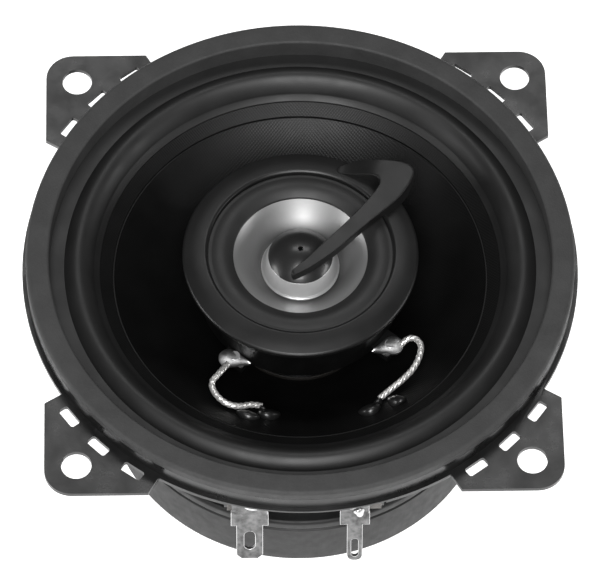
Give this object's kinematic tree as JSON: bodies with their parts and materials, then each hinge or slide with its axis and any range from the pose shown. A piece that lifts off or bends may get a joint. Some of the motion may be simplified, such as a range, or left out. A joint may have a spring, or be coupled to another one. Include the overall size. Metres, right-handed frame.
{
  "type": "coaxial car speaker",
  "caption": "Round coaxial car loudspeaker on a square-eared steel basket, with a cone tweeter in a pod over the main cone and a rubber-booted magnet.",
  "frame": {"origin": "centre of the four bolt holes, on the back face of the ears that rests on the mounting panel", "axes": "+Z out of the front of the speaker along its axis, -Y towards the side with the terminals, +X to the right seen from the front with the terminals below"},
  "size_m": [0.102, 0.102, 0.0559],
  "materials": {
    "painted_steel": "gloss",
    "gasket": "matte",
    "surround_rubber": "satin",
    "cone_paper": "matte woven",
    "brass_eyelet": "satin",
    "black_glue": "gloss",
    "spider_cloth": "woven",
    "coil_former": "satin",
    "coil_wire": "enamelled",
    "plated_steel": "satin",
    "ferrite": "matte",
    "boot_rubber": "satin",
    "bright_steel": "bright",
    "board_laminate": "laminate",
    "tinned_brass": "tinned",
    "solder": "bright",
    "braided_lead": "braided",
    "pod_plastic": "satin",
    "bezel_plastic": "satin",
    "neodymium": "nickel plated",
    "tweeter_surround_foam": "matte",
    "silver_cone": "satin silver",
    "silver_collar": "bright",
    "dome_film": "gloss",
    "capacitor_sleeve": "gloss"
  },
  "bodies": {
    "frame": {"basket": "painted_steel", "gasket_ring": "gasket", "surround": "surround_rubber", "spider": "spider_cloth", "front_plate": "plated_steel", "ferrite_magnet": "ferrite", "t_yoke": "plated_steel", "magnet_boot": "boot_rubber", "basket_rivets": "bright_steel", "terminal_board": "board_laminate", "terminal_wide": "tinned_brass", "terminal_narrow": "tinned_brass", "terminal_rivets": "bright_steel", "terminal_solder": "solder", "rear_lead_left": "braided_lead", "rear_lead_right": "braided_lead", "tweeter_pod": "pod_plastic", "tweeter_bezel": "bezel_plastic", "tweeter_yoke": "plated_steel", "tweeter_magnet": "neodymium", "tweeter_pole_plate": "plated_steel", "tweeter_surround": "tweeter_surround_foam", "tweeter_capacitor": "capacitor_sleeve", "solder_lug_left": "tinned_brass", "solder_lug_right": "tinned_brass", "lug_rivets": "bright_steel", "front_lead_left": "braided_lead", "front_lead_right": "braided_lead", "stem_screw": "bright_steel", "stem_washer": "bright_steel"},
    "cone_assembly": {"cone": "cone_paper", "cone_eyelets": "brass_eyelet", "cone_lead_glue": "black_glue", "voice_coil_former": "coil_former", "voice_coil_winding": "coil_wire"},
    "tweeter_diaphragm": {"tweeter_cone": "silver_cone", "tweeter_collar": "silver_collar", "tweeter_dome": "dome_film", "tweeter_former": "coil_former", "tweeter_winding": "coil_wire"}
  },
  "joints": [
    {"name": "cone_travel", "type": "slide", "parent": "frame", "child": "cone_assembly", "axis": [0, 0, 1], "range_m": [-0.0025, 0.0025], "stiffness_N_per_m": 1800, "deforming": ["surround", "spider", "front_lead_left", "front_lead_right", "rear_lead_left", "rear_lead_right"]},
    {"name": "tweeter_travel", "type": "slide", "parent": "frame", "child": "tweeter_diaphragm", "axis": [0, 0, 1], "range_m": [-0.0003, 0.0003], "stiffness_N_per_m": 300, "deforming": ["tweeter_surround"]}
  ]
}
